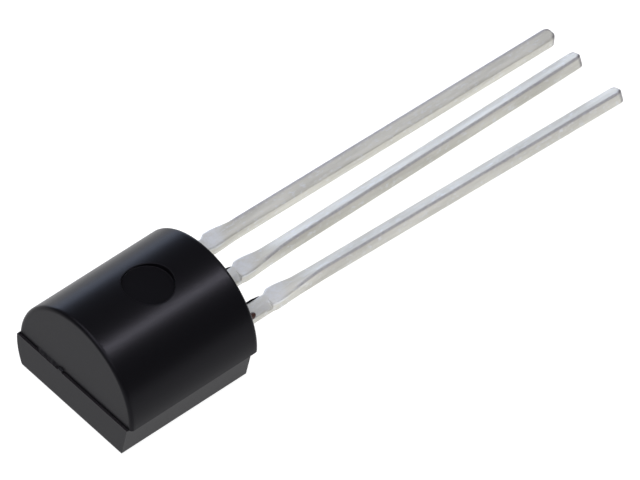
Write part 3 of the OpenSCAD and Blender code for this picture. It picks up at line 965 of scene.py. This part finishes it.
def add_light(name, towards, distance, size, power, colour, lit):
    """A rectangular soft light that faces the part. Lit names the pieces that it is kept to, if any."""
    light = bpy.data.lights.new(name, "AREA")
    light.shape = "RECTANGLE"
    light.size, light.size_y = size
    light.energy = power
    light.color = colour
    away = Vector(towards).normalized()
    up = away.cross(Vector((1, 0, 0))).normalized()
    right = up.cross(away)
    turn = Matrix((right, up, away)).transposed().to_4x4()
    lamp = bpy.data.objects.new(name, light)
    lamp.matrix_world = Matrix.Translation(away * distance) @ turn
    bpy.context.scene.collection.objects.link(lamp)
    if lit:
        receivers = bpy.data.collections.new("Lit by the " + name.lower())
        for piece in lit:
            receivers.objects.link(bpy.data.objects[piece])
        lamp.light_linking.receiver_collection = receivers


def add_camera(scene, stage):
    """A long lens, so that parallel edges stay nearly parallel."""
    azimuth, elevation = stage.azimuth, stage.elevation
    level = math.cos(elevation)
    away = Vector((level * math.cos(azimuth), level * math.sin(azimuth), math.sin(elevation)))
    right = Vector((0, 0, 1)).cross(away).normalized()
    up = away.cross(right)
    turn = Matrix.Rotation(stage.roll, 3, away)
    axes = Matrix((turn @ right, turn @ up, away)).transposed().to_4x4()
    lens = bpy.data.cameras.new("Camera")
    lens.sensor_width = 36.0
    lens.lens = lens.sensor_width * stage.distance / stage.view_width
    lens.clip_end = 10.0
    camera = bpy.data.objects.new("Camera", lens)
    camera.matrix_world = Matrix.Translation(Vector(stage.target) + away * stage.distance) @ axes
    scene.collection.objects.link(camera)
    scene.camera = camera


class TRANSISTOR_OT_stage(bpy.types.Operator):
    """Build the floor, the lights and the camera."""

    bl_idname = "transistor.stage"
    bl_label = "Stage"

    def execute(self, context):
        stage = context.scene.transistor_stage
        low, high = -FLOOR_REACH, FLOOR_REACH
        corners = [(low, low, 0.0), (high, low, 0.0), (high, high, 0.0), (low, high, 0.0)]
        mesh = bpy.data.meshes.new("floor")
        mesh.from_pydata(corners, [], [(0, 1, 2, 3)])
        tree = new_material("Pale floor")
        shader = tree.nodes.new("ShaderNodeBsdfPrincipled")
        output = tree.nodes.new("ShaderNodeOutputMaterial")
        shader.inputs["Base Color"].default_value = (*stage.floor, 1.0)
        shader.inputs["Roughness"].default_value = 0.9
        shader.inputs["Specular IOR Level"].default_value = 0.0
        shader.inputs["Emission Color"].default_value = (1.0, 1.0, 1.0, 1.0)
        shader.inputs["Emission Strength"].default_value = stage.table_glow
        tree.links.new(shader.outputs["BSDF"], output.inputs["Surface"])
        mesh.materials.append(finish("Pale floor"))
        floor = bpy.data.objects.new("floor", mesh)
        context.scene.collection.objects.link(floor)

        for light in LIGHTS:
            add_light(*light)

        world = bpy.data.worlds.new("Room")
        world.use_nodes = True
        world.node_tree.nodes["Background"].inputs["Color"].default_value = (*stage.room, 1.0)
        world.node_tree.nodes["Background"].inputs["Strength"].default_value = 1.0
        context.scene.world = world
        context.scene.view_settings.view_transform = "Standard"
        add_camera(context.scene, stage)
        return {"FINISHED"}


class TRANSISTOR_PT_panel(bpy.types.Panel):
    """Lists what the add-on builds."""

    bl_label = "Transistor"
    bl_idname = "TRANSISTOR_PT_panel"
    bl_space_type = "VIEW_3D"
    bl_region_type = "UI"
    bl_category = "Transistor"

    def draw(self, context):
        for operator in OPERATORS:
            self.layout.operator(operator.bl_idname)


OPERATORS = (
    TRANSISTOR_OT_finishes,
    TRANSISTOR_OT_body,
    TRANSISTOR_OT_leads,
    TRANSISTOR_OT_trim,
    TRANSISTOR_OT_stage,
)
SETTINGS = {
    "transistor_body": TransistorBodySizes,
    "transistor_leads": TransistorLeadSizes,
    "transistor_trim": TransistorTrimSizes,
    "transistor_finishes": TransistorFinishes,
    "transistor_stage": TransistorStage,
}


def register():
    """Registers the settings, the operators and the panel."""
    for name, group in SETTINGS.items():
        bpy.utils.register_class(group)
        setattr(bpy.types.Scene, name, PointerProperty(type=group))
    for item in (*OPERATORS, TRANSISTOR_PT_panel):
        bpy.utils.register_class(item)


def unregister():
    """Takes them all away again."""
    for item in reversed((*OPERATORS, TRANSISTOR_PT_panel)):
        bpy.utils.unregister_class(item)
    for name, group in SETTINGS.items():
        delattr(bpy.types.Scene, name)
        bpy.utils.unregister_class(group)


def main():
    """Builds everything in order."""
    register()
    bpy.ops.transistor.finishes()
    bpy.ops.transistor.body()
    bpy.ops.transistor.leads()
    bpy.ops.transistor.trim()
    bpy.ops.transistor.stage()


if __name__ == "__main__":
    main()
